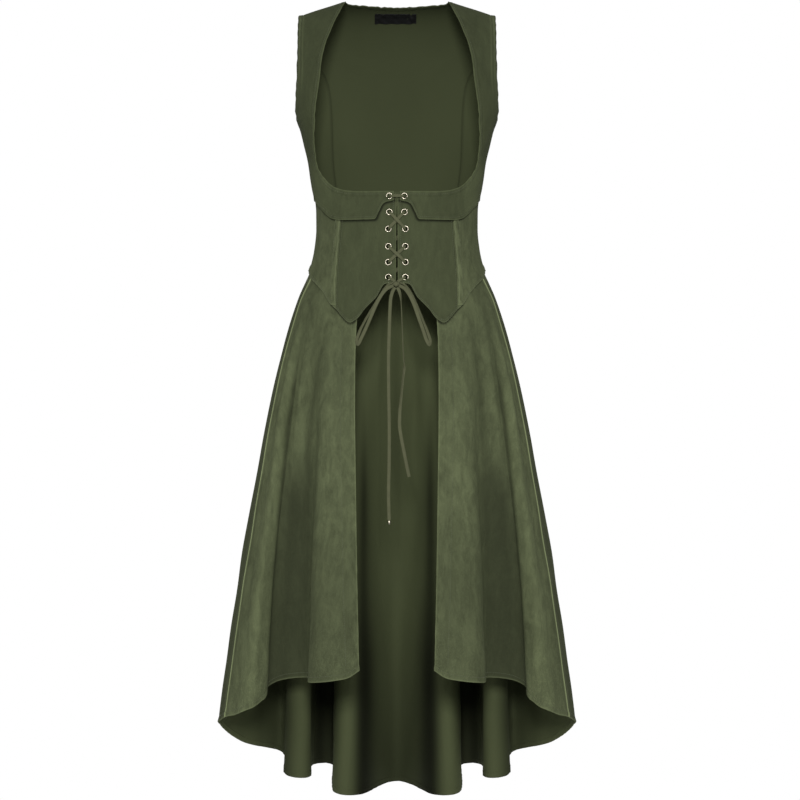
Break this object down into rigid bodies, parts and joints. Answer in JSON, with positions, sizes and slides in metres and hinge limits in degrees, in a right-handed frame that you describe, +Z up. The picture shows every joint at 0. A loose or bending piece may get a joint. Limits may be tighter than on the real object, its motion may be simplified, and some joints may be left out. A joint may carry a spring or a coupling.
{
  "type": "medieval gown",
  "caption": "Sleeveless open-front gown with straps outside the bust, a laced pointed corset and a high-low skirt, filled out as worn.",
  "frame": {"origin": "midway between the neck ends of the two shoulder seams, where the wearer's shoulders hold the gown", "axes": "+Z up, -Y the front of the gown, +X the wearer's left"},
  "size_m": [0.591, 0.4516, 1.3212],
  "materials": {
    "suede": "olive green brushed faux suede, matt, with a short nap",
    "lace": "flat olive green faux suede lace",
    "eyelet_metal": "pale antique brass, satin",
    "label": "blank black woven label"
  },
  "bodies": {
    "root": {"back_centre": "suede", "back_side_left": "suede", "back_side_right": "suede", "yoke_left": "suede", "yoke_right": "suede", "corset_front_left": "suede", "corset_front_right": "suede", "corset_side_left": "suede", "corset_side_right": "suede", "bone_channel_left": "suede", "bone_channel_right": "suede", "skirt_front_left": "suede", "skirt_front_right": "suede", "skirt_side_left": "suede", "skirt_side_right": "suede", "skirt_back": "suede", "neck_label": "label", "eyelet_left_1": "eyelet_metal", "eyelet_left_2": "eyelet_metal", "eyelet_left_3": "eyelet_metal", "eyelet_left_4": "eyelet_metal", "eyelet_left_5": "eyelet_metal", "eyelet_left_6": "eyelet_metal", "eyelet_right_1": "eyelet_metal", "eyelet_right_2": "eyelet_metal", "eyelet_right_3": "eyelet_metal", "eyelet_right_4": "eyelet_metal", "eyelet_right_5": "eyelet_metal", "eyelet_right_6": "eyelet_metal", "lace_lacing": "lace", "lace_knot": "lace", "lace_loop_left": "lace", "lace_loop_right": "lace", "lace_end_left": "lace", "lace_end_right": "lace", "lace_tip": "eyelet_metal"}
  },
  "joints": []
}
